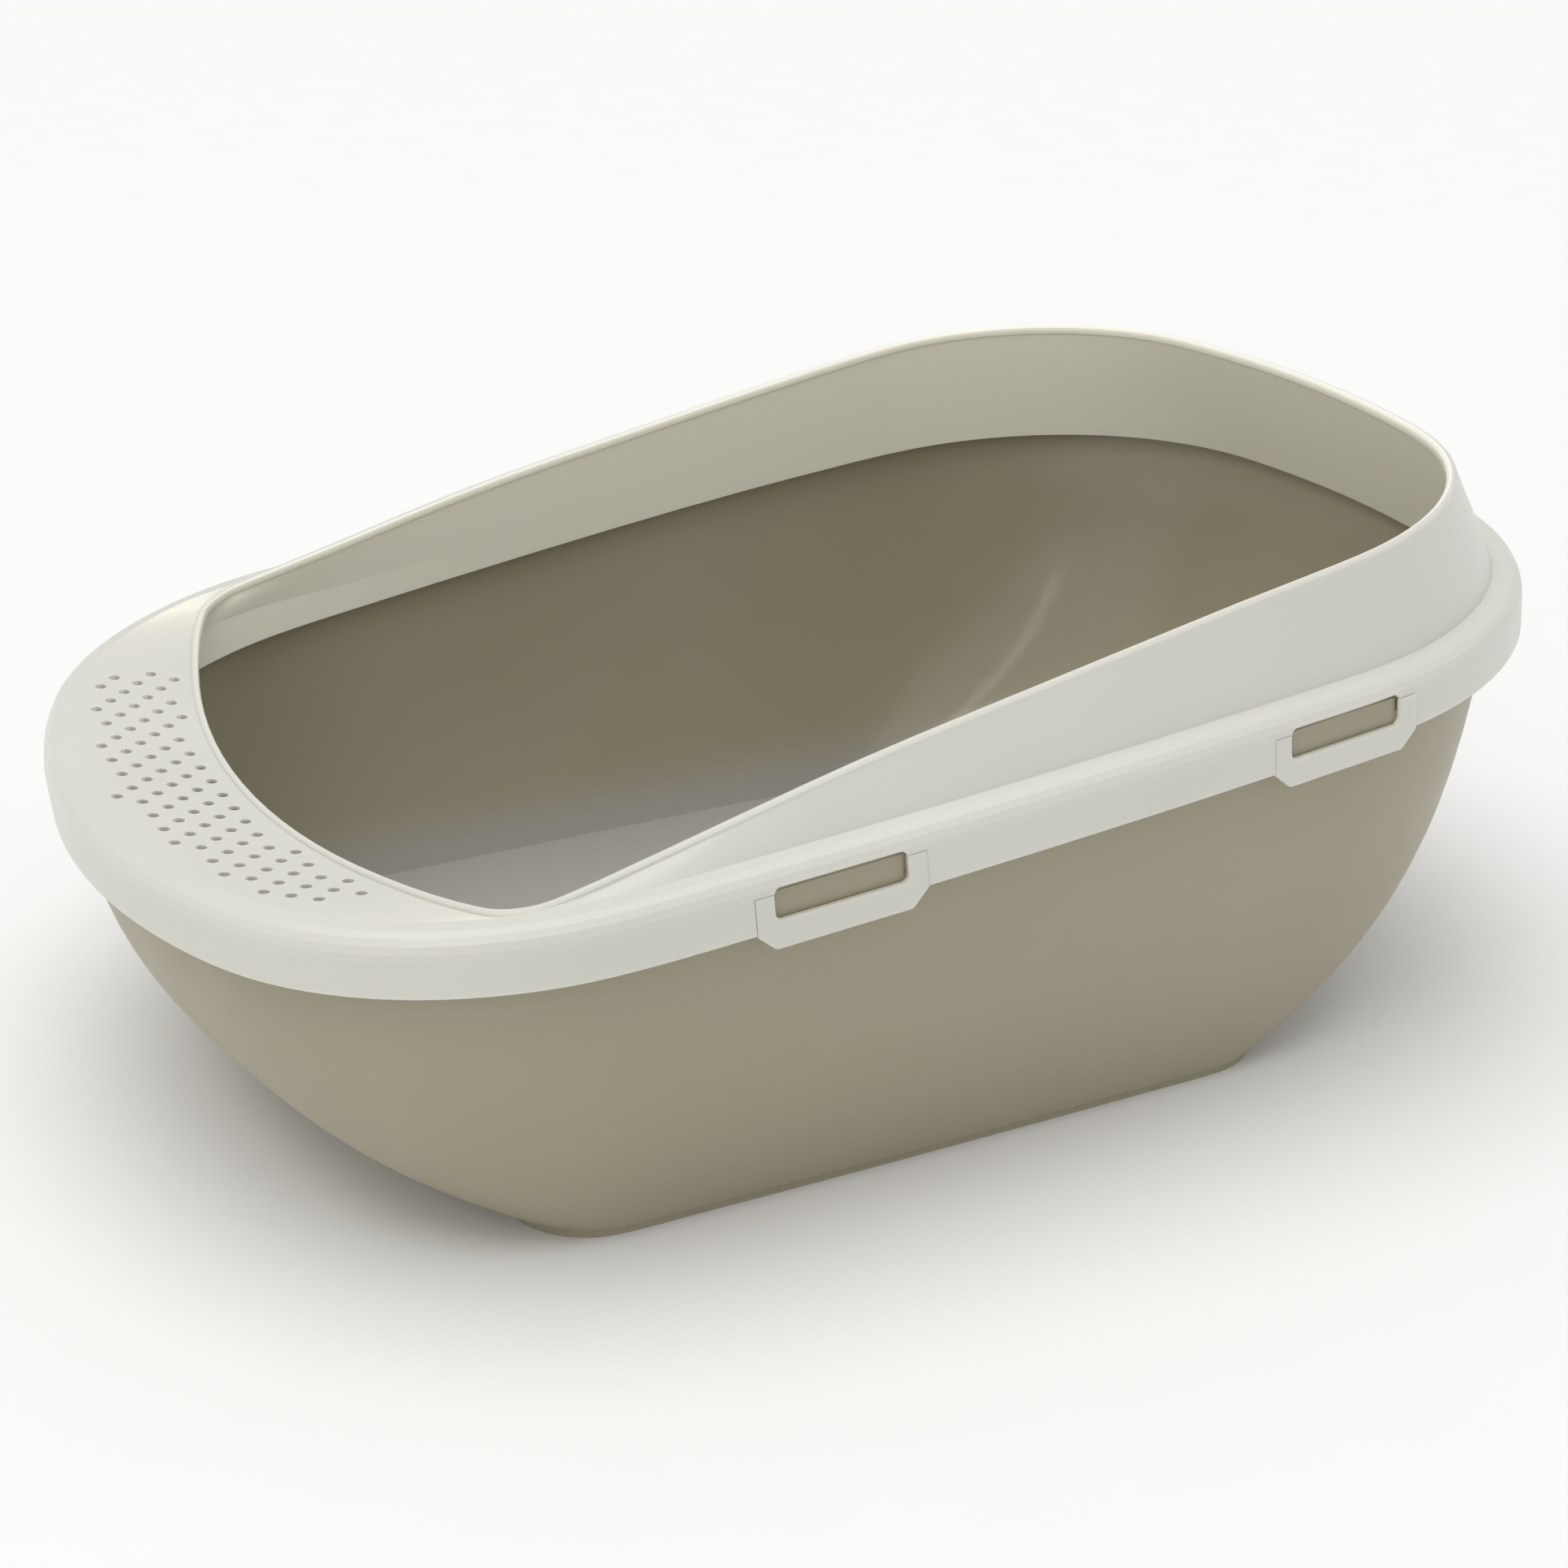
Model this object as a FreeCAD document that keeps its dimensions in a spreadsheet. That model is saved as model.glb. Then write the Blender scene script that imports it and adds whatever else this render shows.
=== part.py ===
import FreeCAD, Part
import os
import Sketcher
from math import atan, atan2, cos, degrees, pi, radians, sin, sqrt
from FreeCAD import Vector

# Open cat litter tray with a high clip-on rim.
# Frame: millimetres, +Z up, the low entry faces -Y, the base rests on z = 0.
# The rim and the tray's flange lie on a plane that rises towards the rear.

SIZES = [
    ("overall_length", 660, "rim skirt, front to rear, measured along its plane"),
    ("overall_width", 450, "rim skirt, side to side"),
    ("widest_place", 19, "y of the widest point of the rim"),
    ("front_bow", 330, "radius of the rim's front"),
    ("front_corner", 156, "radius of the rim's front corners"),
    ("side_bow", 3600, "radius of the rim's long sides"),
    ("rear_corner", 172, "radius of the rim's rear corners"),
    ("rear_bow", 560, "radius of the rim's rear"),
    ("flange_height", 156, "skirt's lower edge above the ground at y = 0"),
    ("flange_rise", 0.09, "rise of the flange plane per millimetre towards the rear"),
    ("skirt_height", 15, "upright part of the skirt"),
    ("roll_radius", 10, "rounded shoulder above the skirt"),
    ("rim_wall", 2.5, "thickness of skirt and shoulder"),
    ("shoulder_width", 13, "from the skirt's face to the foot of the wing wall"),
    ("collar_level", 5, "lower edge of the rim's collar inside the tray, at y = 0"),
    ("collar_rise", 0.05, "rise of the collar's edge towards the rear, to its highest part"),
    ("collar_top", 10, "highest part of the collar's lower edge"),
    ("collar_wall", 2.6, "thickness of the collar"),
    ("collar_taper", 4.5, "collar's lower edge leans in by this much"),
    ("collar_blend", 4, "how softly the collar's lower edge levels off"),
    ("entry_depth", 73, "from the rim's front edge to the opening"),
    ("rear_lean", 40, "from the rim's rear edge to the opening"),
    ("side_lean", 26, "from the rim's sides to the opening"),
    ("opening_widest", -60, "y of the opening's widest point"),
    ("opening_front_bow", 450, "radius of the opening's front"),
    ("opening_front_corner", 30, "radius of the opening's front corners"),
    ("opening_side_bow", 9000, "radius of the opening's long sides"),
    ("opening_rear_corner", 128, "radius of the opening's rear corners"),
    ("opening_rear_bow", 520, "radius of the opening's rear"),
    ("entry_height", 15, "opening's front edge above the flange plane"),
    ("entry_reach", 370, "along the opening's edge from its front to where the wing is full"),
    ("wing_height", 55.5, "wing's top edge above the flange plane at y = 0"),
    ("wing_slope", 0.11, "rise of the wing's top edge above the flange plane"),
    ("wing_top", 75, "highest part of the wing above the flange plane"),
    ("lip_height", 4, "depth of the rolled lip on the wing"),
    ("lip_width", 5, "thickness of the rolled lip"),
    ("wing_root", 0.36, "where the wing's inner face is set, from the collar's foot to its lip"),
    ("edge_blend", 8, "how softly the wing's top edge levels off"),
    ("wing_wall", 3, "thickness of the wing wall"),
    ("collar_gap", 0.4, "between the rim's collar and the tray's wall"),
    ("tray_wall", 2.8, "thickness of the tray's walls"),
    ("tray_setback", 10.5, "from the rim skirt's face to the tray's wall, at the flange"),
    ("floor_thickness", 3, "tray's floor"),
    ("flange_thickness", 3.2, "tray's flange"),
    ("flange_level", 19.7, "top of the tray's flange above the flange plane's datum"),
    ("flange_lip", 11, "height of the flange's turned-down edge"),
    ("skirt_gap", 0.8, "between the rim's skirt and the tray's flange"),
    ("base_front_inset", 119, "base's front edge, inside the rim's front"),
    ("base_rear_inset", 158, "base's rear edge, inside the rim's rear"),
    ("base_side_inset", 47, "base's sides, inside the rim's sides"),
    ("base_front_bow", 900, "radius of the base's front"),
    ("base_corner", 38, "radius of the base's corners"),
    ("base_side_bow", 9000, "radius of the base's sides"),
    ("base_rear_bow", 900, "radius of the base's rear"),
    ("front_bulge", 3.4, "how round the foot of the front wall is, 1 for a flat wall"),
    ("side_bulge", 2.6, "how round the foot of the side walls is"),
    ("rear_bulge", 3.8, "how round the foot of the rear wall is"),
    ("front_draft", 0.1, "share of the front wall's reach that is even draft"),
    ("side_draft", 0.25, "the same for the side walls"),
    ("rear_draft", 0.3, "the same for the rear wall"),
    ("foot_height", 4, "foot ring under the floor"),
    ("foot_setback", 1.5, "foot ring inside the base's edge"),
    ("hole_diameter", 4.8, "holes in the entry panel"),
    ("hole_pitch", 16, "holes along a row"),
    ("row_pitch", 8.2, "rows of holes"),
    ("panel_depth", 137, "the panel's holes lie this near to the rim's front edge"),
    ("hole_margin", 7, "between the outermost holes and the panel's outer edge"),
    ("hole_inner_margin", 3.6, "between the innermost holes and the opening's edge"),
    ("hole_reach", 132, "panel's holes to each side of the centre"),
    ("latch_front_place", -91, "middle of the front latches"),
    ("latch_rear_place", 143, "middle of the rear latches"),
    ("latch_length", 72, "latch hoop along the rim"),
    ("latch_leg", 8, "width of a latch's leg"),
    ("latch_drop", 8, "latch bar below the skirt"),
    ("latch_bar", 12, "height of the latch bar"),
    ("latch_chamfer", 7, "cut corners of the latch bar"),
    ("latch_thickness", 2.9, "latch hoop"),
    ("latch_proud", 0.1, "latch hoop in front of the skirt"),
    ("latch_rounding", 0.8, "rounded edges of a latch hoop"),
    ("latch_corner", 3, "rounded corners of a latch hoop and of its window"),
    ("latch_gap", 0.2, "between a latch hoop and the rim"),
    ("window_height", 17.5, "top of the latch window above the skirt's edge"),
    ("lug_length", 54, "tray's catch behind a latch window"),
    ("lug_drop", 5, "catch below the skirt's edge"),
    ("lug_gap", 0.6, "between the catch and the skirt's inner face"),
]

doc = FreeCAD.newDocument("litter_tray")
sheet = doc.addObject("Spreadsheet::Sheet", "Sizes")
for row, (alias, value, meaning) in enumerate(SIZES, start=1):
    sheet.set("A%d" % row, alias)
    sheet.set("B%d" % row, str(value))
    sheet.setAlias("B%d" % row, alias)
    sheet.set("C%d" % row, meaning)
doc.recompute()


def size(alias):
    return float(sheet.get(alias))


# ---------------------------------------------------------------- outlines

class Oval:
    """Closed outline of eight tangent arcs, symmetric about the Y axis."""

    def __init__(self, front, rear, half, widest, radii):
        self.front, self.rear, self.half, self.widest = front, rear, half, widest
        self.radii = radii

    def inset(self, distance):
        radii = [radius - distance for radius in self.radii]
        return Oval(self.front - distance, self.rear - distance, self.half - distance,
                    self.widest, radii)

    def toward(self, other, front, side, rear):
        """Outline between this one and another, with its own share for each direction."""
        mean = [front, (front + side) / 2, side, (side + rear) / 2, rear]
        radii = [a + (b - a) * share for a, b, share in zip(self.radii, other.radii, mean)]
        return Oval(self.front + (other.front - self.front) * front,
                    self.rear + (other.rear - self.rear) * rear,
                    self.half + (other.half - self.half) * side,
                    self.widest + (other.widest - self.widest) * side, radii)

    def arcs(self):
        """Centre, radius, start and end angle of the five arcs on the +X side."""
        bow_f, corner_f, bow_s, corner_r, bow_r = self.radii
        front = Vector(0, -self.front + bow_f, 0)
        rear = Vector(0, self.rear - bow_r, 0)
        side = Vector(self.half - bow_s, self.widest, 0)
        low = inner_tangent(front, bow_f - corner_f, side, bow_s - corner_f, -1)
        high = inner_tangent(rear, bow_r - corner_r, side, bow_s - corner_r, 1)
        turn = [-pi / 2, heading(low - front), heading(low - side),
                heading(high - side), heading(high - rear), pi / 2]
        centres = [front, low, side, high, rear]
        return [(c, r, turn[i], turn[i + 1]) for i, (c, r) in enumerate(zip(centres, self.radii))]

    def stations(self):
        """Points round the outline, at matching places on every outline."""
        half = []
        for (centre, radius, start, end), count in zip(self.arcs(), ARC_STEPS):
            for step in range(count):
                angle = start + (end - start) * step / count
                half.append(centre + Vector(cos(angle), sin(angle), 0) * radius)
        half.append(Vector(0, self.rear, 0))
        mirrored = [Vector(-point.x, point.y, 0) for point in reversed(half[1:-1])]
        return half + mirrored

    def side_point(self, y):
        """Point and outward direction on the +X side arc at a given y."""
        centre, radius = self.arcs()[2][:2]
        x = centre.x + sqrt(radius ** 2 - (y - centre.y) ** 2)
        return Vector(x, y, 0), Vector(x - centre.x, y - centre.y, 0).normalize()


ARC_STEPS = [4, 7, 9, 7, 4]


def heading(vector):
    return atan2(vector.y, vector.x)


def inner_tangent(centre_a, reach_a, centre_b, reach_b, end):
    """Point on the +X side at the given distances from two centres, at the front or rear."""
    gap = centre_b - centre_a
    along = (reach_a ** 2 - reach_b ** 2 + gap.Length ** 2) / (2 * gap.Length)
    across = sqrt(reach_a ** 2 - along ** 2)
    unit = Vector(gap).normalize()
    normal = Vector(-unit.y, unit.x, 0)
    foot = centre_a + unit * along
    choices = [foot + normal * across, foot - normal * across]
    return max(choices, key=lambda point: point.y * end)


HALF_LENGTH = size("overall_length") / 2
HALF_WIDTH = size("overall_width") / 2
RIM = Oval(HALF_LENGTH, HALF_LENGTH, HALF_WIDTH, size("widest_place"),
           [size("front_bow"), size("front_corner"), size("side_bow"),
            size("rear_corner"), size("rear_bow")])
OPENING = Oval(HALF_LENGTH - size("entry_depth"), HALF_LENGTH - size("rear_lean"),
               HALF_WIDTH - size("side_lean"), size("opening_widest"),
               [size("opening_front_bow"), size("opening_front_corner"),
                size("opening_side_bow"), size("opening_rear_corner"),
                size("opening_rear_bow")])
BASE = Oval(HALF_LENGTH - size("base_front_inset"), HALF_LENGTH - size("base_rear_inset"),
            HALF_WIDTH - size("base_side_inset"),
            (size("base_front_inset") - size("base_rear_inset")) / 2,
            [size("base_front_bow"), size("base_corner"), size("base_side_bow"),
             size("base_corner"), size("base_rear_bow")])


def tilted(share):
    """Placement of a level of the tray: 0 at the foot, 1 on the flange plane."""
    angle = atan(size("flange_rise") * share)
    foot = size("foot_height")
    lift = foot + (size("flange_height") - foot) * share
    # The tilt carries the skirt's front face forwards, so half of that is taken back.
    centring = size("skirt_height") * sin(angle) / 2
    return FreeCAD.Placement(Vector(0, centring, lift),
                             FreeCAD.Rotation(Vector(1, 0, 0), degrees(angle)))


# The flange plane: everything on it is made flat, then tilted and lifted.
TILT = tilted(1)


def closed_curve(points):
    curve = Part.BSplineCurve()
    curve.interpolate(Points=points, PeriodicFlag=True)
    return curve.toShape()


def level(outline, height):
    """Closed curve of an outline at one height."""
    return closed_curve([point + Vector(0, 0, height) for point in outline.stations()])


def prism(outline, low, high):
    """Flat-ended solid of an outline between two heights."""
    wire = Part.Wire([level(outline, low)])
    return Part.Face(wire).extrude(Vector(0, 0, high - low))


def ring_solid(curves):
    """Closed ring whose cross-section passes through the given curves, in order."""
    faces = [Part.makeRuledSurface(a, b) for a, b in zip(curves, curves[1:] + curves[:1])]
    shell = Part.makeShell(faces)
    shell.sewShape()
    solid = Part.makeSolid(shell)
    if solid.Volume < 0:
        solid.reverse()
    return solid


def add_feature(label, shape, placement=None):
    feature = doc.addObject("Part::Feature", label)
    feature.Label = label
    feature.Shape = shape
    if placement:
        feature.Placement = placement
    return feature


# ---------------------------------------------------------------- rim

def smooth(value):
    value = min(max(value, 0), 1)
    return value * value * (3 - 2 * value)


def capped(line, top, blend):
    """The lower of two values, with a smooth bend between them."""
    return (line + top - sqrt((line - top) ** 2 + blend ** 2)) / 2


def wing_shares(edge):
    """0 at the middle of the low entry, 1 where the wing wall is full, for each station."""
    shares = []
    run = 0.0
    half = len(edge) // 2
    for index in range(half + 1):
        if index:
            run += (edge[index] - edge[index - 1]).Length
        shares.append(smooth(run / size("entry_reach")))
    return shares + shares[half - 1:0:-1]


def edge_height(y, share):
    """Top of the opening's edge above the flange plane."""
    line = size("wing_height") + size("wing_slope") * y
    wing = capped(line, size("wing_top"), size("edge_blend"))
    return size("entry_height") * (1 - share) + wing * share


def lip_points(at_entry, on_wing):
    """Points along the opening's edge, moved outwards and down by the given amounts."""
    edge = OPENING.stations()
    low = OPENING.inset(-at_entry[0]).stations()
    high = OPENING.inset(-on_wing[0]).stations()
    points = []
    for place, near, far, share in zip(edge, low, high, wing_shares(edge)):
        point = near + (far - near) * share
        drop = at_entry[1] + (on_wing[1] - at_entry[1]) * share
        points.append(Vector(point.x, point.y, edge_height(place.y, share) - drop))
    return points


def lip_round():
    """Curves over the top of the lip, from its outer face to its inner face."""
    thin, wide = size("wing_wall") / 2, size("lip_width") / 2
    curves = []
    for step in range(LIP_STEPS + 1):
        angle = pi * step / LIP_STEPS
        curves.append(closed_curve(lip_points((thin * cos(angle), thin * (1 - sin(angle))),
                                              (wide * cos(angle), wide * (1 - sin(angle))))))
    return curves


def collar_points(inset):
    """Lower edge of the collar, which hangs deeper at the entry than at the rear."""
    points = []
    for point in RIM.inset(inset).stations():
        line = size("collar_level") + size("collar_rise") * point.y
        height = capped(line, size("collar_top"), size("collar_blend"))
        points.append(Vector(point.x, point.y, height))
    return points


def inner_root(collar, lip_foot):
    """Under the entry panel a corner; on the wings a place on one even inner face."""
    inset = size("tray_setback") + size("tray_wall") + size("collar_gap")
    inset += size("collar_wall") + size("collar_taper") / 2
    height = size("skirt_height") + size("roll_radius") - size("wing_wall")
    corners = RIM.inset(inset).stations()
    points = []
    for low, high, corner, share in zip(collar, lip_foot, corners,
                                        wing_shares(OPENING.stations())):
        under_panel = Vector(corner.x, corner.y, height)
        on_face = low + (high - low) * size("wing_root")
        points.append(under_panel + (on_face - under_panel) * share)
    return closed_curve(points)


LIP_STEPS = 6


def shoulder(radius, centre_height, start, end, steps):
    """Curves round the rolled shoulder, from one angle to another."""
    curves = []
    for step in range(steps + 1):
        angle = radians(start + (end - start) * step / steps)
        inset = size("roll_radius") - radius * cos(angle)
        curves.append(level(RIM.inset(inset), centre_height + radius * sin(angle)))
    return curves


def make_rim():
    wall, roll = size("rim_wall"), size("roll_radius")
    skirt = size("skirt_height")
    collar_outer = size("tray_setback") + size("tray_wall") + size("collar_gap")
    taper = size("collar_taper")
    thin, wide = size("wing_wall") / 2, size("lip_width") / 2
    lip = size("lip_height")
    outside = [level(RIM, 0)] + shoulder(roll, skirt, 0, 90, 5)
    outside.append(level(RIM.inset(size("shoulder_width")), skirt + roll + wall / 10))
    lip_side = lip_points((-thin, 2 * thin), (-wide, lip))
    lip_foot = lip_points((wall / 10 - thin, 2 * thin + wall / 10), (-thin, lip + wide / 2))
    collar_foot = collar_points(collar_outer + taper + size("collar_wall"))
    inside = [
        closed_curve(lip_side),
        closed_curve(lip_foot),
        inner_root(collar_foot, lip_foot),
        closed_curve(collar_foot),
        closed_curve(collar_points(collar_outer + taper)),
        level(RIM.inset(collar_outer), size("flange_level") + size("collar_gap")),
        level(RIM.inset(size("shoulder_width") - 1), skirt + roll - wall),
    ] + shoulder(roll - wall, skirt, 90, 0, 5) + [level(RIM.inset(wall), 0)]
    return ring_solid(outside + lip_round() + inside)


def entry_holes():
    """Staggered round holes through the entry panel, as one cutting tool."""
    margin = size("hole_margin") + size("hole_diameter") / 2
    outer = Part.Face(Part.Wire([level(RIM.inset(size("shoulder_width") + margin), 0)]))
    inner_margin = size("hole_inner_margin") + size("hole_diameter") / 2
    inner = Part.Face(Part.Wire([level(OPENING.inset(-inner_margin), 0)]))
    panel = outer.cut(inner)
    first_row = size("shoulder_width") + margin - HALF_LENGTH
    last_row = size("panel_depth") - HALF_LENGTH
    rows = int((last_row - first_row) / size("row_pitch")) + 1
    under_panel = size("entry_height") - 2 * size("lip_height")
    over_panel = size("skirt_height") + 2 * size("roll_radius")
    pins = []
    for row in range(rows):
        y = first_row + row * size("row_pitch")
        shift = size("hole_pitch") / 2 * (row % 2)
        reach = int(size("hole_reach") / size("hole_pitch"))
        for column in range(-reach, reach + 1):
            x = column * size("hole_pitch") + shift
            if panel.isInside(Vector(x, y, 0), 0.01, True):
                pins.append(Part.makeCylinder(size("hole_diameter") / 2, over_panel - under_panel,
                                              Vector(x, y, under_panel)))
    return Part.makeCompound(pins)


def beside_skirt(place, side, length, depth_out, depth_in, low, high):
    """Block along the skirt at a latch: side is +1 or -1, depths from the skirt's face."""
    point, outward = RIM.side_point(place)
    block = Part.makeBox(depth_out + depth_in, length, high - low,
                         Vector(-depth_in, -length / 2, low))
    turn = FreeCAD.Rotation(Vector(0, 0, 1), degrees(heading(outward)))
    block.Placement = FreeCAD.Placement(point, turn)
    if side < 0:
        block = block.mirror(Vector(0, 0, 0), Vector(1, 0, 0))
    return block


LATCHES = [
    ("latch_front_right", "latch_front_place", 1),
    ("latch_front_left", "latch_front_place", -1),
    ("latch_rear_right", "latch_rear_place", 1),
    ("latch_rear_left", "latch_rear_place", -1),
]


def rounded_top(block):
    """Rounds a window block's two upper edges that run into the skirt."""
    high = block.BoundBox.ZMax
    edges = []
    for edge in block.Edges:
        upright = abs(edge.Vertexes[0].Z - edge.Vertexes[1].Z) > size("latch_corner")
        along = edge.Length > size("latch_length") / 2
        if not upright and not along and edge.CenterOfMass.z > high - 1:
            edges.append(edge)
    return block.makeFillet(size("latch_corner"), edges)


def cut_latch_openings(rim):
    gap = size("latch_gap")
    inner = size("latch_thickness") - size("latch_proud") + 2 * gap
    window_length = size("latch_length") - 2 * size("latch_leg")
    clear = 2 * size("rim_wall")
    below = -2 * size("latch_drop")
    for label, place, side in LATCHES:
        y = size(place)
        notch = beside_skirt(y, side, size("latch_length") + 2 * gap, clear, inner, below,
                             size("skirt_height") + gap)
        window = beside_skirt(y, side, window_length, clear,
                              size("roll_radius") - size("rim_wall") / 2, below,
                              size("window_height"))
        rim = rim.cut(notch).cut(rounded_top(window))
    return rim


# ---------------------------------------------------------------- tray

def wall_reach(up, face):
    """How far out a wall of the bowl is, from 0 at its foot to 1 at the flange."""
    draft = size(face + "_draft")
    return draft * up + (1 - draft) * (1 - (1 - up) ** size(face + "_bulge"))


TRAY_STEPS = 8
TRAY_CROWDING = 1.35


def tray_levels(inset, lift, overshoot):
    """Outlines of the bowl from its foot to its flange, each on its own tilted plane."""
    top = RIM.inset(size("tray_setback"))
    wires = []
    for step in range(TRAY_STEPS + 1):
        up = (step / TRAY_STEPS) ** TRAY_CROWDING
        outline = BASE.toward(top, wall_reach(up, "front"), wall_reach(up, "side"),
                              wall_reach(up, "rear")).inset(inset)
        curve = level(outline, size("flange_level") * up + lift * (1 - up))
        curve.Placement = tilted(up)
        wires.append(Part.Wire([curve]))
    if overshoot:
        curve = level(outline, size("flange_level") + overshoot)
        curve.Placement = TILT
        wires.append(Part.Wire([curve]))
    return wires


def make_tray():
    wall = size("tray_wall")
    outside = Part.makeLoft(tray_levels(0, 0, 0), True, False)
    inside = Part.makeLoft(tray_levels(wall, size("floor_thickness"), 2 * wall), True, False)
    foot = prism(BASE.inset(size("foot_setback")), 0, size("foot_height") + 1)
    foot_hollow = prism(BASE.inset(size("foot_setback") + 2 * wall), -1, size("foot_height") - 1)
    edge = size("rim_wall") + size("skirt_gap")
    high = size("flange_level")
    low = high - size("flange_thickness")
    skirt = size("skirt_height")
    flange = prism(RIM.inset(edge), high - size("flange_lip"), skirt)
    flange = flange.cut(prism(RIM.inset(edge + wall), high - size("flange_lip") - 1, low))
    # The flange's upper corner is cut off to pass under the rim's rolled shoulder.
    under_roll = size("roll_radius") - size("rim_wall") - size("skirt_gap") / 2
    corner = size("roll_radius") - sqrt(under_roll ** 2 - (high - skirt) ** 2)
    top_wires = [Part.Wire([level(RIM.inset(edge), skirt)]),
                 Part.Wire([level(RIM.inset(corner), high)])]
    flange_top = Part.makeLoft(top_wires, True, True)
    flange_top = flange_top.cut(prism(RIM.inset(edge + wall), skirt - 1, low))
    pieces = [flange, flange_top]
    for label, place, side in LATCHES:
        lug_face = size("rim_wall") + size("lug_gap")
        lug = beside_skirt(size(place), side, size("lug_length"), -lug_face,
                           size("tray_setback") + wall / 2, -size("lug_drop"), skirt)
        pieces.append(lug)
    for piece in pieces:
        piece.Placement = TILT.multiply(piece.Placement)
    tray = outside.fuse([foot] + pieces).cut([inside, foot_hollow])
    return tray.removeSplitter()


# ---------------------------------------------------------------- latches

def origin_plane(body, role):
    return next(item for item in body.Origin.OriginFeatures if item.Role == role)


def pin_corner(sketch, index, across, up):
    """Ties the start of a line to the sketch's origin, by two expressions on the sheet."""
    for kind, expression in (("DistanceX", across), ("DistanceY", up)):
        number = sketch.addConstraint(Sketcher.Constraint(kind, -1, 1, index, 1, 1.0))
        sketch.setExpression("Constraints[%d]" % number, expression)


def named_edges(shape, wanted):
    return ["Edge%d" % (index + 1) for index, edge in enumerate(shape.Edges) if wanted(edge)]


def is_hoop_corner(edge):
    """An edge through the hoop's thickness, at the bar's lower corners or in the window."""
    middle = edge.CenterOfMass
    across = abs(edge.Vertexes[0].X - edge.Vertexes[1].X) > size("latch_thickness") / 2
    inner = abs(middle.y) < size("latch_length") / 2 - size("latch_chamfer") + 1
    return across and inner and middle.z < size("skirt_height") - 1


def is_open_edge(edge):
    """An edge round the front or back face that doesn't border the rim."""
    middle = edge.CenterOfMass
    depth = abs(edge.Vertexes[0].X - edge.Vertexes[1].X)
    beside = abs(middle.y) > size("latch_length") / 2 - 1 and middle.z > -1
    return depth < 0.01 and not beside and middle.z < size("skirt_height") - 1


def make_latch(label, place, side):
    """Spring hoop moulded on the skirt: two legs and a bar under the tray's catch."""
    body = doc.addObject("PartDesign::Body", label)
    body.Label = label
    sketch = body.newObject("Sketcher::SketchObject", label + "_outline")
    sketch.AttachmentSupport = (origin_plane(body, "YZ_Plane"), "")
    sketch.MapMode = "FlatFace"
    end = "Sizes.latch_length / 2"
    leg = end + " - Sizes.latch_leg"
    cut = end + " - Sizes.latch_chamfer"
    top = "Sizes.skirt_height"
    bottom = "-Sizes.latch_drop"
    corner = bottom + " + Sizes.latch_chamfer"
    bar_top = bottom + " + Sizes.latch_bar"
    right = [(cut, bottom), (end, corner), (end, top), (leg, top), (leg, bar_top)]
    left = [("-(%s)" % across, up) for across, up in reversed(right)]
    corners = right + left
    rough = [(27, -8), (34, -1), (34, 15), (26, 15), (26, 7)]
    rough += [(-across, up) for across, up in reversed(rough)]
    for start, finish in zip(rough, rough[1:] + rough[:1]):
        sketch.addGeometry(Part.LineSegment(Vector(*start, 0), Vector(*finish, 0)), False)
    for index, (across, up) in enumerate(corners):
        following = (index + 1) % len(corners)
        sketch.addConstraint(Sketcher.Constraint("Coincident", index, 2, following, 1))
        pin_corner(sketch, index, across, up)
    pad = body.newObject("PartDesign::Pad", label + "_pad")
    pad.Profile = sketch
    pad.setExpression("Length", "Sizes.latch_thickness")
    doc.recompute()
    corners = body.newObject("PartDesign::Fillet", label + "_corners")
    corners.Base = (pad, named_edges(pad.Shape, is_hoop_corner))
    corners.setExpression("Radius", "Sizes.latch_corner")
    doc.recompute()
    rounding = body.newObject("PartDesign::Fillet", label + "_rounding")
    rounding.Base = (corners, named_edges(corners.Shape, is_open_edge))
    rounding.setExpression("Radius", "Sizes.latch_rounding")
    point, outward = RIM.side_point(size(place))
    turn = heading(outward)
    if side < 0:
        point.x = -point.x
        outward.x = -outward.x
        turn = pi - turn
    back = point - outward * (size("latch_thickness") - size("latch_proud"))
    seat = FreeCAD.Placement(back, FreeCAD.Rotation(Vector(0, 0, 1), degrees(turn)))
    body.Placement = TILT.multiply(seat)
    return body


# ---------------------------------------------------------------- assembly

rim_shape = cut_latch_openings(make_rim().cut(entry_holes()))
parts = [add_feature("rim", rim_shape, TILT), add_feature("tray", make_tray())]
parts += [make_latch(label, place, side) for label, place, side in LATCHES]
doc.recompute()

for item in doc.Objects:
    if "Invalid" in item.State or "Error" in item.State:
        raise RuntimeError("%s failed" % item.Label)
os.makedirs("parts", exist_ok=True)
for part in parts:
    shape = part.Shape
    if shape.isNull() or not shape.isValid():
        raise RuntimeError("%s has no valid shape" % part.Label)
    shape.exportStep("parts/%s.step" % part.Label)
    box = shape.BoundBox
    print("%-20s solids %d  volume %9.0f mm3  x %.1f..%.1f  y %.1f..%.1f  z %.1f..%.1f"
          % (part.Label, len(shape.Solids), shape.Volume, box.XMin, box.XMax, box.YMin,
             box.YMax, box.ZMin, box.ZMax))
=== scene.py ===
import math

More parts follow.
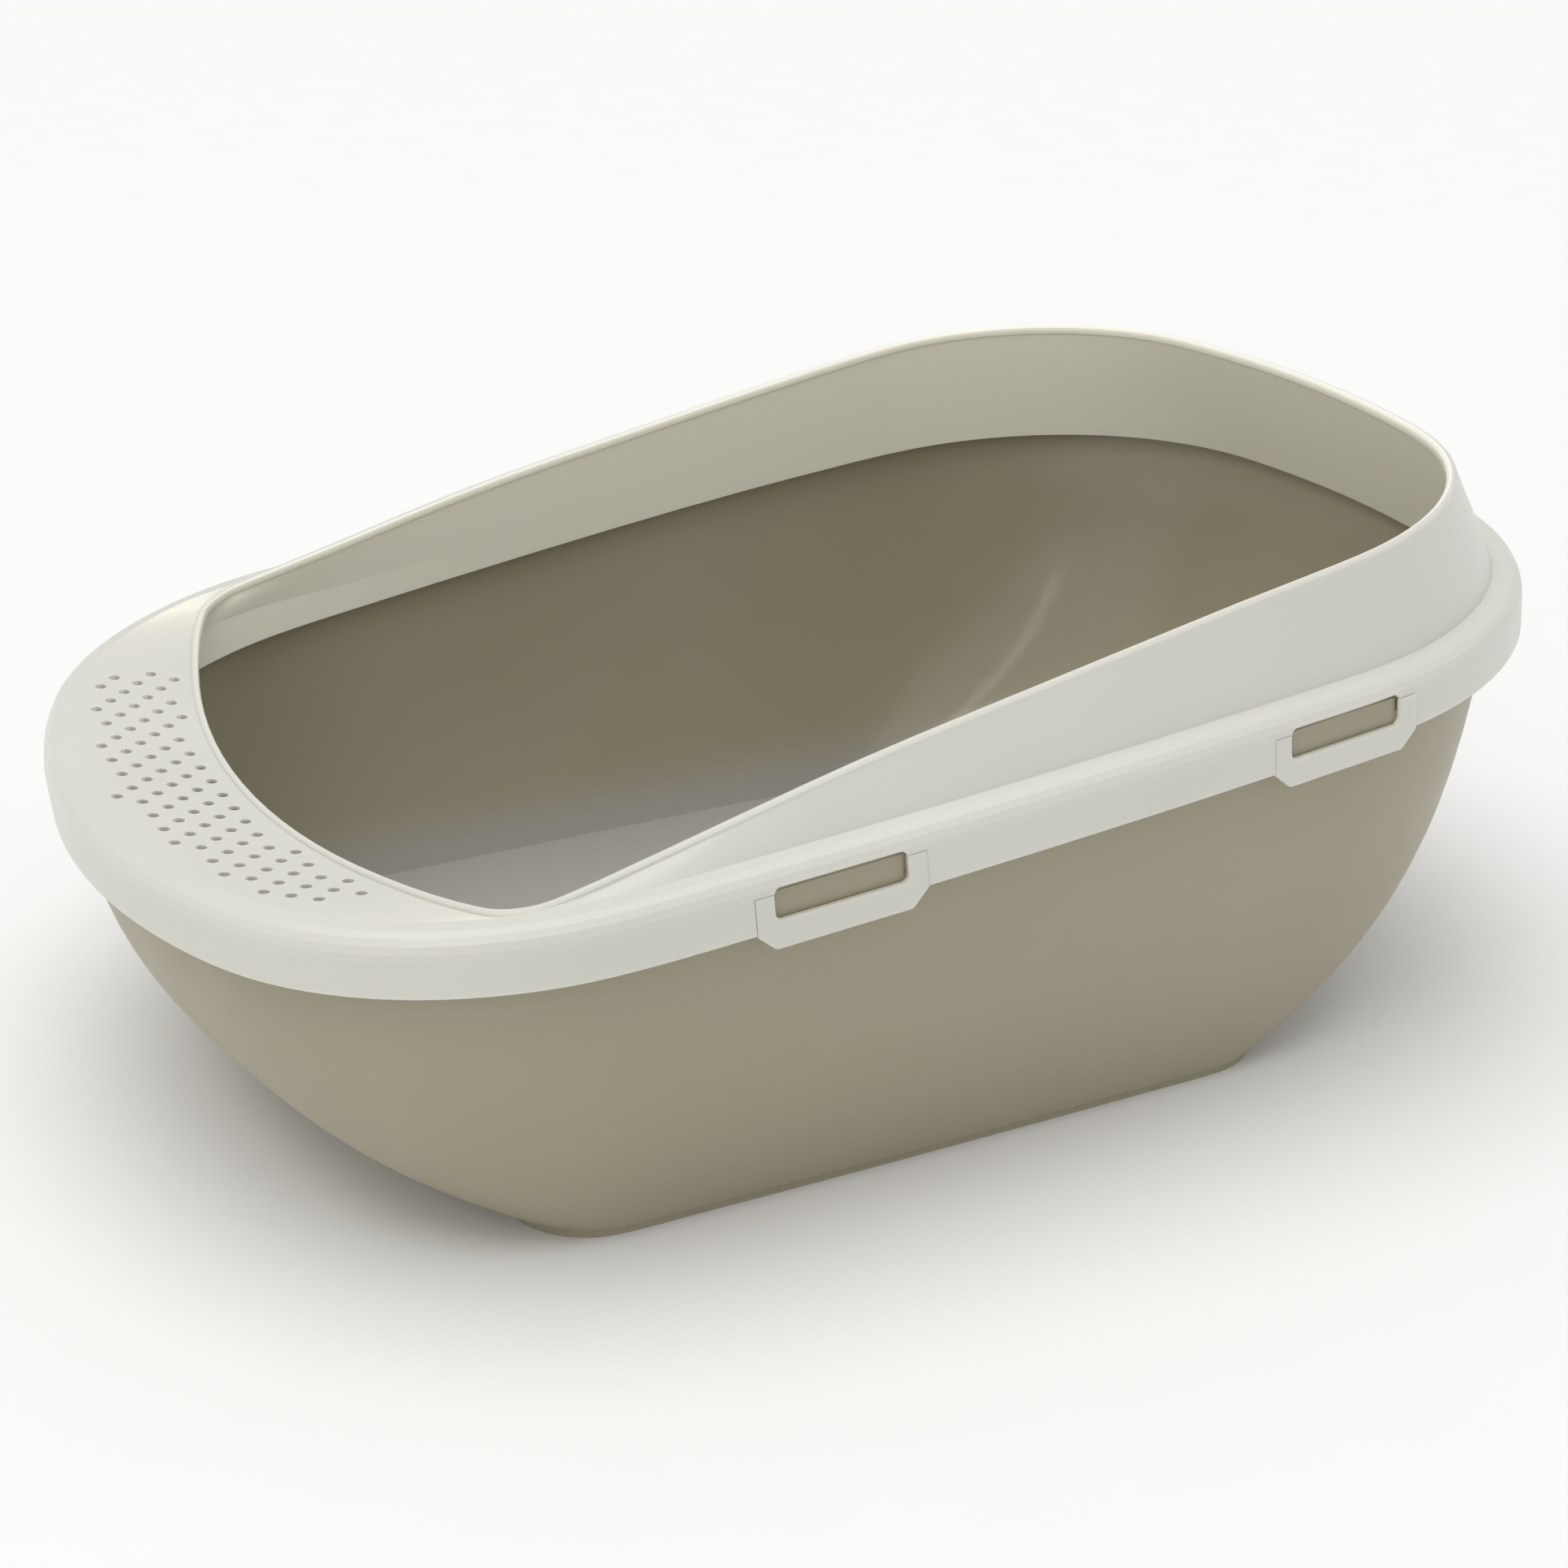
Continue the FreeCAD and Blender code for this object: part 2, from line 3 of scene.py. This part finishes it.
import bmesh
import bpy
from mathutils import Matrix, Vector


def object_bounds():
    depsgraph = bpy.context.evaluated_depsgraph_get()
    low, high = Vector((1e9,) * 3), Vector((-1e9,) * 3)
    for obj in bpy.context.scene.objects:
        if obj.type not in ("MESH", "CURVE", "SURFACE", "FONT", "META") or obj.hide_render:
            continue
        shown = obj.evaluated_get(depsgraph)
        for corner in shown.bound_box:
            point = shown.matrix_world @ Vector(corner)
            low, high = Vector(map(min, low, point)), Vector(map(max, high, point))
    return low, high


# An open cat litter tray with a high clip-on rim, standing on a pale studio floor.
# Everything is in metres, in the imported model's own frame: +Z up, low entry at -Y.

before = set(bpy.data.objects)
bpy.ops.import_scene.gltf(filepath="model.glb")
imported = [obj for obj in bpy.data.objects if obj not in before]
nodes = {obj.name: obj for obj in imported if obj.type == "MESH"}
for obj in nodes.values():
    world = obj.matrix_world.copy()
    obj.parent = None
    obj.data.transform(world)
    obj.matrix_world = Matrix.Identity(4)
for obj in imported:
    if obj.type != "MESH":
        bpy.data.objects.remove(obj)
cad_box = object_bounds()
scene = bpy.context.scene
MM = 0.001

# Heights between which the painted reflection on the tray's floor fades: full just under the
# floor's upper face, and none a little way up the walls.
FLOOR_REFLECTION_FULL = 4 * MM
FLOOR_REFLECTION_GONE = 42 * MM

# Roughness of each skin: a polished mould gives the lowest.
TRAY_OUTSIDE = 0.41
TRAY_INSIDE = 0.14
# The tray's floor, where a paler grey is painted in as a reflection, has this rougher skin.
TRAY_FLOOR_ROUGHNESS = 0.32
RIM_SKIN = 0.32
SKIN_UNEVENNESS = 0.04
GRAIN_STRENGTH = 0.35
POLISHED_GRAIN_STRENGTH = 0.04

# Studio: a square floor, a tall softbox to the front right, and a white ceiling, whose light
# comes from the direction given and is spread as a wide sun.
FLOOR_HALF = 6.0
SKY_STRENGTH = 0.6
SOFTBOX_PLACE = Vector((1.15, -1.95, 1.6))
SOFTBOX_TARGET = Vector((0.0, 0.0, 0.12))
SOFTBOX_WIDTH = 0.3
SOFTBOX_HEIGHT = 2.4
SOFTBOX_WATTS = 3.5
CEILING_DIRECTION = Vector((0.0, -0.15, 1.0))
CEILING_STRENGTH = 1.45
CEILING_SPREAD = math.radians(60)

# Camera: on a circle round the tray, with its azimuth counted from the low entry.
CAMERA_TARGET = Vector((-0.021383, 0.009566, 0.086855))
CAMERA_AZIMUTH = math.radians(62.888)
CAMERA_ELEVATION = math.radians(23.245)
CAMERA_DISTANCE = 1.31907
CAMERA_LENS_MM = 64.19
CAMERA_SENSOR_MM = 36.0


# ---------------------------------------------------------------- colours and nodes

def linear(hex_colour):
    """Linear RGBA of an sRGB hex colour."""
    channels = [int(hex_colour[i:i + 2], 16) / 255 for i in (1, 3, 5)]
    values = [c / 12.92 if c <= 0.04045 else ((c + 0.055) / 1.055) ** 2.4 for c in channels]
    return (*values, 1.0)


def add_node(tree, kind, inputs=None, **settings):
    """Adds a shader node with its settings. An input takes a value, or an output to link from."""
    node = tree.nodes.new(kind)
    for name, value in settings.items():
        setattr(node, name, value)
    for key, value in (inputs or {}).items():
        if isinstance(value, bpy.types.NodeSocket):
            tree.links.new(value, node.inputs[key])
        else:
            node.inputs[key].default_value = value
    return node


def new_material(name):
    material = bpy.data.materials.new(name)
    material.use_nodes = True
    material.node_tree.nodes.clear()
    return material, material.node_tree


def per_mm(millimetres):
    """Noise scale whose features are this size."""
    return 1 / (millimetres * MM)


# ---------------------------------------------------------------- plastics
# A Mix node blends its colour sockets 6 and 7, or its number sockets 2 and 3, by its socket 0.

def moulded_polypropylene(tree, place, colour, cloud_colour, skin, grain_mm, grain_depth_mm):
    """Injection-moulded polypropylene: a waxy satin skin over a fine spark-eroded grain.

    Returns its shader node, whose colour, roughness and normal are already linked.
    """
    # Clouds: the colour batch is never stirred quite evenly, so broad areas differ a little.
    clouds = add_node(tree, "ShaderNodeTexNoise",
                      {"Vector": place.outputs["Object"], "Scale": per_mm(140), "Detail": 3.0})
    cloud_share = add_node(tree, "ShaderNodeMapRange",
                           {"Value": clouds.outputs["Fac"], "From Min": 0.35, "From Max": 0.65})
    base = add_node(tree, "ShaderNodeMix",
                    {0: cloud_share.outputs[0], 6: linear(colour), 7: linear(cloud_colour)},
                    data_type="RGBA")
    # Grain: the eroded mould leaves pits a few hundredths of a millimetre wide. They are drawn
    # coarser, so that they show.
    grain = add_node(tree, "ShaderNodeTexNoise",
                     {"Vector": place.outputs["Object"], "Scale": per_mm(grain_mm), "Detail": 2.0})
    bump = add_node(tree, "ShaderNodeBump",
                    {"Strength": GRAIN_STRENGTH, "Distance": grain_depth_mm * MM,
                     "Height": grain.outputs["Fac"]})
    # Flow patches: where the melt cooled slower, the skin took up more of the mould's polish.
    patches = add_node(tree, "ShaderNodeTexNoise",
                       {"Vector": place.outputs["Object"], "Scale": per_mm(25), "Detail": 4.0})
    roughness = add_node(tree, "ShaderNodeMapRange",
                         {"Value": patches.outputs["Fac"], "From Min": 0.3, "From Max": 0.7,
                          "To Min": skin - SKIN_UNEVENNESS, "To Max": skin + SKIN_UNEVENNESS})
    shader = add_node(tree, "ShaderNodeBsdfPrincipled",
                      {"IOR": 1.49, "Base Color": base.outputs[2],
                       "Roughness": roughness.outputs[0], "Normal": bump.outputs["Normal"]})
    output = add_node(tree, "ShaderNodeOutputMaterial")
    tree.links.new(shader.outputs["BSDF"], output.inputs["Surface"])
    return shader


def source_of(shader, socket):
    """The output that feeds a shader's socket."""
    return shader.inputs[socket].links[0].from_socket


def inside_share(tree, place, none, full):
    """0 on a bowl's outer faces and 1 on its inner ones, which turn towards its upright axis.

    The measure is how far a face turns outwards, times its distance from the axis. It is
    negative on inner faces, and the share climbs from 0 to 1 as it falls from none to full.
    """
    flat = add_node(tree, "ShaderNodeVectorMath",
                    {0: place.outputs["Object"], 1: (1.0, 1.0, 0.0)}, operation="MULTIPLY")
    facing = add_node(tree, "ShaderNodeVectorMath",
                      {0: place.outputs["Normal"], 1: flat.outputs[0]}, operation="DOT_PRODUCT")
    return add_node(tree, "ShaderNodeMapRange",
                    {"Value": facing.outputs["Value"], "From Min": none, "From Max": full}
                    ).outputs[0]


def tray_material():
    """Taupe polypropylene, grained outside and polished inside, where litter has to slide off."""
    material, tree = new_material("polypropylene_moulded_taupe")
    place = add_node(tree, "ShaderNodeTexCoord")
    shader = moulded_polypropylene(tree, place, "#A49D88", "#A09983", TRAY_OUTSIDE,
                                   grain_mm=0.9, grain_depth_mm=0.02)
    # Faces that look straight up or down measure nothing, so the floor counts as inside.
    inside = inside_share(tree, place, 60 * MM, 10 * MM)
    polished = add_node(tree, "ShaderNodeMix",
                        {0: inside, 2: source_of(shader, "Roughness"), 3: TRAY_INSIDE})
    bump = source_of(shader, "Normal").node
    grain_strength = add_node(tree, "ShaderNodeMapRange",
                              {"Value": inside, "To Min": GRAIN_STRENGTH,
                               "To Max": POLISHED_GRAIN_STRENGTH})
    tree.links.new(grain_strength.outputs[0], bump.inputs["Strength"])
    # Painted reflection: the floor and the foot of the walls are painted a paler grey, standing in
    # for the white surroundings mirrored there, so they look greyer, and are given a duller,
    # rougher skin than the walls above.
    axes = add_node(tree, "ShaderNodeSeparateXYZ", {"Vector": place.outputs["Object"]})
    low = add_node(tree, "ShaderNodeMapRange",
                   {"Value": axes.outputs["Z"], "From Min": FLOOR_REFLECTION_GONE, "From Max": FLOOR_REFLECTION_FULL},
                   interpolation_type="SMOOTHSTEP")
    painted_reflection_share = add_node(tree, "ShaderNodeMath", {0: low.outputs[0], 1: inside}, operation="MULTIPLY")
    # Painted reflection: a paler grey is mixed into the colour low inside the bowl.
    painted_reflection_colour = add_node(tree, "ShaderNodeMix",
                       {0: painted_reflection_share.outputs[0], 6: source_of(shader, "Base Color"),
                        7: linear("#A9A7A2")}, data_type="RGBA")
    floor_roughness_mix = add_node(tree, "ShaderNodeMix",
                      {0: painted_reflection_share.outputs[0], 2: polished.outputs[0], 3: TRAY_FLOOR_ROUGHNESS})
    tree.links.new(floor_roughness_mix.outputs[0], shader.inputs["Roughness"])
    tree.links.new(painted_reflection_colour.outputs[2], shader.inputs["Base Color"])
    return material


def rim_material():
    """Off-white polypropylene with a satin skin, unfilled and so a little milky."""
    material, tree = new_material("polypropylene_moulded_offwhite")
    place = add_node(tree, "ShaderNodeTexCoord")
    shader = moulded_polypropylene(tree, place, "#D9D8D0", "#D6D5CC", RIM_SKIN,
                                   grain_mm=0.8, grain_depth_mm=0.015)
    # Painted light: the wing's inner faces are painted a lighter colour, standing in for light
    # that shines through the thin milky wall; the subsurface scattering below does part of this
    # for real. The flat entry panel lies short of the range.
    inside = inside_share(tree, place, -30 * MM, -90 * MM)
    painted_inner_light = add_node(tree, "ShaderNodeMix",
                    {0: inside, 6: source_of(shader, "Base Color"), 7: linear("#FBF8EA")},
                    data_type="RGBA")
    tree.links.new(painted_inner_light.outputs[2], shader.inputs["Base Color"])
    shader.inputs["Subsurface Weight"].default_value = 0.3
    shader.inputs["Subsurface Radius"].default_value = (1.0, 0.95, 0.85)
    shader.inputs["Subsurface Scale"].default_value = 3 * MM
    return material


def dress(node, material):
    """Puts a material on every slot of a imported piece."""
    mesh = nodes[node].data
    if not mesh.materials:
        mesh.materials.append(material)
    for index in range(len(mesh.materials)):
        mesh.materials[index] = material


offwhite = rim_material()
dress("tray", tray_material())
for name in nodes:
    if name == "rim" or name.startswith("latch_"):
        dress(name, offwhite)


# ---------------------------------------------------------------- studio

def make_floor():
    """Pale studio floor, level with the tray's foot."""
    shape = bmesh.new()
    bmesh.ops.create_grid(shape, x_segments=8, y_segments=8, size=FLOOR_HALF)
    bmesh.ops.translate(shape, vec=Vector((0, 0, cad_box[0][2])), verts=shape.verts)
    mesh = bpy.data.meshes.new("studio_floor")
    shape.to_mesh(mesh)
    shape.free()
    floor = bpy.data.objects.new("studio_floor", mesh)
    scene.collection.objects.link(floor)
    material, tree = new_material("painted_board_white")
    place = add_node(tree, "ShaderNodeTexCoord")
    brushed = add_node(tree, "ShaderNodeTexNoise",
                       {"Vector": place.outputs["Object"], "Scale": per_mm(60), "Detail": 2.0})
    tone = add_node(tree, "ShaderNodeMix",
                    {0: brushed.outputs["Fac"], 6: linear("#F6F6F5"), 7: linear("#F4F4F3")},
                    data_type="RGBA")
    shader = add_node(tree, "ShaderNodeBsdfPrincipled",
                      {"Roughness": 0.9, "IOR": 1.4, "Base Color": tone.outputs[2]})
    output = add_node(tree, "ShaderNodeOutputMaterial")
    tree.links.new(shader.outputs["BSDF"], output.inputs["Surface"])
    mesh.materials.append(material)


def add_lamp(name, kind, place, shines, energy):
    """Lamp of this kind at a place, that shines along a vector."""
    lamp = bpy.data.lights.new(name, kind)
    lamp.energy = energy
    holder = bpy.data.objects.new(name, lamp)
    holder.location = place
    holder.rotation_euler = shines.to_track_quat("-Z", "Y").to_euler()
    scene.collection.objects.link(holder)
    return lamp


def light_studio():
    """White surroundings, a softbox that draws the streak inside the bowl, and a ceiling."""
    world = bpy.data.worlds.new("white_studio")
    scene.world = world
    world.use_nodes = True
    tree = world.node_tree
    tree.nodes.clear()
    sky = add_node(tree, "ShaderNodeBackground",
                   {"Color": linear("#FFFFFF"), "Strength": SKY_STRENGTH})
    output = add_node(tree, "ShaderNodeOutputWorld")
    tree.links.new(sky.outputs["Background"], output.inputs["Surface"])
    softbox = add_lamp("softbox_strip", "AREA", SOFTBOX_PLACE,
                       SOFTBOX_TARGET - SOFTBOX_PLACE, SOFTBOX_WATTS)
    softbox.shape = "RECTANGLE"
    softbox.size = SOFTBOX_WIDTH
    softbox.size_y = SOFTBOX_HEIGHT
    softbox.color = linear("#FFF8EA")[:3]
    # A sun lamp this wide lights the whole floor evenly, as a white ceiling does.
    ceiling = add_lamp("ceiling_light", "SUN", CEILING_DIRECTION * 3,
                       -CEILING_DIRECTION, CEILING_STRENGTH)
    ceiling.angle = CEILING_SPREAD


def place_camera():
    """Camera that looks down at the tray from the front right."""
    away = Vector((math.sin(CAMERA_AZIMUTH) * math.cos(CAMERA_ELEVATION),
                   -math.cos(CAMERA_AZIMUTH) * math.cos(CAMERA_ELEVATION),
                   math.sin(CAMERA_ELEVATION)))
    lens = bpy.data.cameras.new("studio_camera")
    lens.sensor_width = CAMERA_SENSOR_MM
    lens.lens = CAMERA_LENS_MM
    lens.clip_start = 50 * MM
    holder = bpy.data.objects.new("studio_camera", lens)
    holder.location = CAMERA_TARGET + away * CAMERA_DISTANCE
    holder.rotation_euler = (-away).to_track_quat("-Z", "Y").to_euler()
    scene.collection.objects.link(holder)
    scene.camera = holder


make_floor()
light_studio()
place_camera()
scene.view_settings.view_transform = "Standard"
